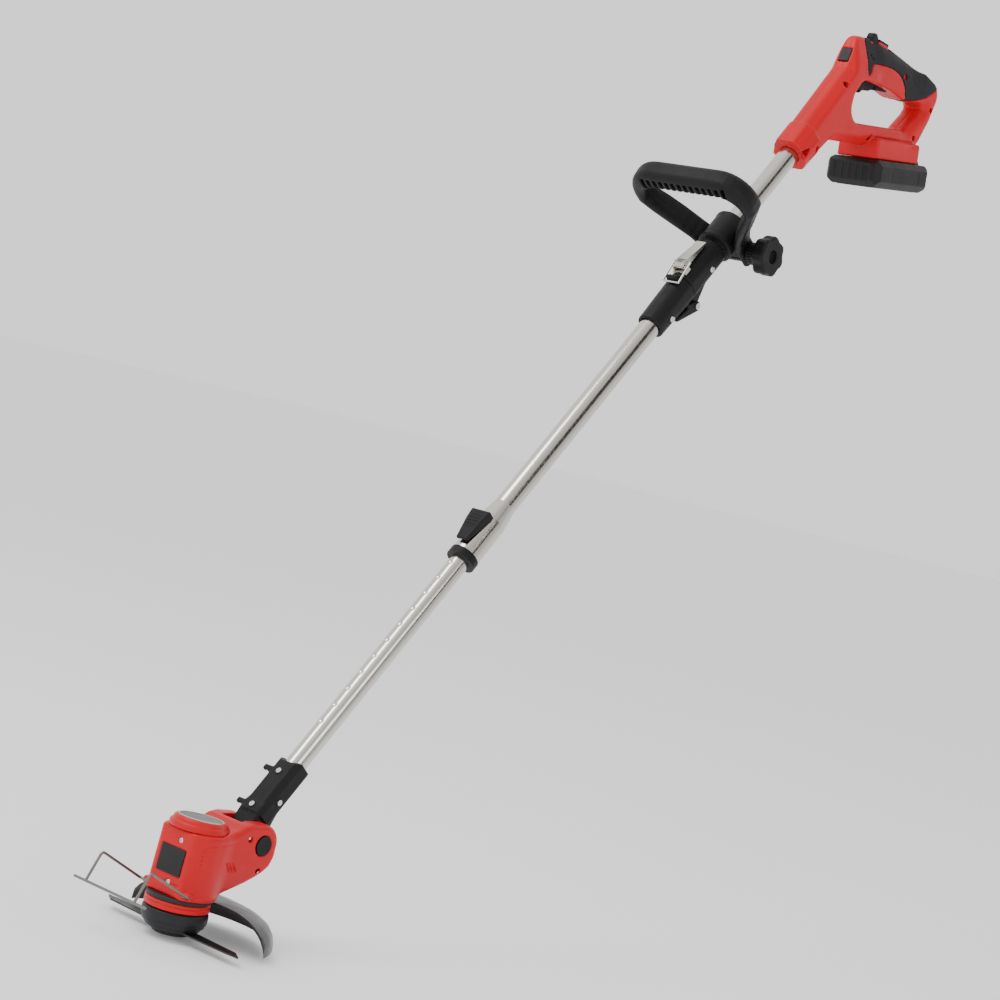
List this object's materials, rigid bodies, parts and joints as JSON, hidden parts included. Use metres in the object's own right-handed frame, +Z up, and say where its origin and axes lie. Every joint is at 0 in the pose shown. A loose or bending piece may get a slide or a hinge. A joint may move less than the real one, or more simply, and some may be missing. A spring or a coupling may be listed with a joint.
{
  "type": "cordless lawn edger and grass trimmer",
  "caption": "Battery lawn edger on a folding telescopic pole, with a tilting motor head, flip-out wire guide, rear shield, sliding battery and adjustable front loop handle.",
  "frame": {"origin": "centre of the rear grip, where the hand holds the tool", "axes": "+X forward, level, towards the cutting head; +Y to the user's left; +Z up, along the head's spindle; the pole leans 37.5 degrees as it is held in use"},
  "size_m": [1.0867, 0.2, 1.1415],
  "materials": {
    "red_plastic": "satin injection-moulded bright red plastic",
    "black_plastic": "fine-textured black nylon",
    "battery_plastic": "charcoal moulded plastic",
    "grip_rubber": "soft dark-grey overmoulded rubber",
    "tube_steel": "drawn stainless tube, satin to bright",
    "bright_steel": "bright zinc and nickel plated steel",
    "wire_steel": "bare stainless wire",
    "blade_steel": "thin dark tempered steel",
    "smoke_plastic": "smoky grey shield plastic",
    "cup_plastic": "dark grey nylon cutting head",
    "plate": "plain grey name plates without marks",
    "spring_steel": "spring wire",
    "cable_sheath": "black cable sheath",
    "cell_wrap": "blue cell sleeves",
    "motor_steel": "zinc-plated motor can",
    "rotor_copper": "steel shaft with a copper-wound core",
    "brass": "brass threaded insert"
  },
  "bodies": {
    "rear_handle": {"handle_shell_left": "red_plastic", "handle_shell_right": "red_plastic", "grip_rubber_left": "grip_rubber", "grip_rubber_right": "grip_rubber", "handle_window": "battery_plastic", "handle_screws": "bright_steel", "switch_block": "battery_plastic", "trigger_spring": "spring_steel", "lock_off_spring": "spring_steel", "terminal_block": "battery_plastic", "upper_tube": "tube_steel", "upper_cable": "cable_sheath", "upper_sleeve": "black_plastic", "upper_rivet": "bright_steel", "latch_base": "bright_steel"},
    "trigger": {"trigger": "black_plastic"},
    "lock_off": {"lock_off_button": "black_plastic"},
    "battery": {"battery_case": "battery_plastic", "battery_cover": "battery_plastic", "battery_cells": "cell_wrap", "battery_latch_spring": "spring_steel"},
    "battery_latch": {"battery_latch": "battery_plastic"},
    "clamp": {"clamp_collar": "black_plastic", "clamp_bolt": "bright_steel"},
    "front_handle": {"front_handle": "black_plastic"},
    "knob": {"knob": "black_plastic", "knob_insert": "brass"},
    "latch_lever": {"latch_lever": "bright_steel"},
    "latch_bail": {"latch_bail": "bright_steel"},
    "middle_pole": {"lower_sleeve": "black_plastic", "latch_catch": "black_plastic", "middle_tube": "tube_steel", "lower_rivet": "bright_steel", "tube_ring": "black_plastic", "middle_cable": "cable_sheath", "fold_pin": "bright_steel"},
    "height_button": {"height_button": "black_plastic"},
    "lower_pole": {"lower_tube": "tube_steel", "bracket_left": "black_plastic", "bracket_right": "black_plastic", "bracket_screws": "bright_steel", "lower_cable": "cable_sheath"},
    "head": {"motor_housing_left": "red_plastic", "motor_housing_right": "red_plastic", "motor_cap": "red_plastic", "head_plates": "plate", "housing_screws": "bright_steel", "motor_can": "motor_steel", "motor_bearings": "motor_steel", "skirt_ring": "red_plastic", "shield": "smoke_plastic", "pivot_axle": "black_plastic"},
    "pivot_button": {"pivot_button": "black_plastic"},
    "guard": {"guard_wire": "wire_steel"},
    "cutter": {"cutting_cup": "cup_plastic", "blade": "blade_steel", "blade_nut": "bright_steel", "rotor": "rotor_copper"}
  },
  "joints": [
    {"name": "trigger_pull", "type": "slide", "parent": "rear_handle", "child": "trigger", "axis": [0.165, 0, 0.9863], "range_m": [0, 0.006], "stiffness_N_per_m": 400, "springref_m": -0.004, "deforming": ["trigger_spring"]},
    {"name": "lock_off_press", "type": "slide", "parent": "rear_handle", "child": "lock_off", "axis": [-0.165, 0, -0.9863], "range_m": [0, 0.003], "stiffness_N_per_m": 400, "springref_m": -0.002, "deforming": ["lock_off_spring"]},
    {"name": "battery_slide", "type": "slide", "parent": "rear_handle", "child": "battery", "axis": [-0.9863, 0, 0.165], "range_m": [0, 0.12]},
    {"name": "battery_latch_press", "type": "slide", "parent": "battery", "child": "battery_latch", "axis": [-0.165, 0, -0.9863], "range_m": [0, 0.003], "stiffness_N_per_m": 400, "springref_m": -0.002, "deforming": ["battery_latch_spring"]},
    {"name": "clamp_slide", "type": "slide", "parent": "rear_handle", "child": "clamp", "axis": [-0.6088, 0, 0.7934], "range_m": [0, 0.08]},
    {"name": "front_handle_swing", "type": "hinge", "parent": "clamp", "child": "front_handle", "pos_m": [0.25595, 0, -0.28145], "axis": [0, 1, 0], "range_deg": [-30, 20]},
    {"name": "knob_turn", "type": "hinge", "parent": "clamp", "child": "knob", "pos_m": [0.25595, 0.054, -0.28145], "axis": [0, 1, 0], "continuous": true},
    {"name": "latch_lever_open", "type": "hinge", "parent": "rear_handle", "child": "latch_lever", "pos_m": [0.34327, 0, -0.32033], "axis": [0, 1, 0], "range_deg": [0, 90]},
    {"name": "latch_bail_swing", "type": "hinge", "parent": "latch_lever", "child": "latch_bail", "pos_m": [0.34215, 0, -0.31363], "axis": [0, 1, 0], "range_deg": [-104, 0]},
    {"name": "pole_fold", "type": "hinge", "parent": "rear_handle", "child": "middle_pole", "pos_m": [0.31281, 0, -0.35883], "axis": [0, 1, 0], "range_deg": [0, 140]},
    {"name": "height_button_press", "type": "slide", "parent": "middle_pole", "child": "height_button", "axis": [-0.7934, 0, -0.6088], "range_m": [0, 0.0025], "stiffness_N_per_m": 400, "springref_m": -0.002},
    {"name": "telescope_slide", "type": "slide", "parent": "middle_pole", "child": "lower_pole", "axis": [-0.6088, 0, 0.7934], "range_m": [0, 0.23]},
    {"name": "head_tilt", "type": "hinge", "parent": "lower_pole", "child": "head", "pos_m": [0.83559, 0, -1.00892], "axis": [0, 1, 0], "range_deg": [-15, 30]},
    {"name": "pivot_button_press", "type": "slide", "parent": "head", "child": "pivot_button", "axis": [0, -1, 0], "range_m": [0, 0.002], "stiffness_N_per_m": 400, "springref_m": -0.001},
    {"name": "guard_flip", "type": "hinge", "parent": "head", "child": "guard", "pos_m": [0.92549, 0, -1.06232], "axis": [0, -1, 0], "range_deg": [-20, 80]},
    {"name": "blade_spin", "type": "hinge", "parent": "head", "child": "cutter", "pos_m": [0.90449, 0, -1.09982], "axis": [0, 0, 1], "continuous": true}
  ],
  "couplings": [
    {"joint": "latch_bail_swing", "follows": "latch_lever_open", "ratio": -1.15}
  ]
}
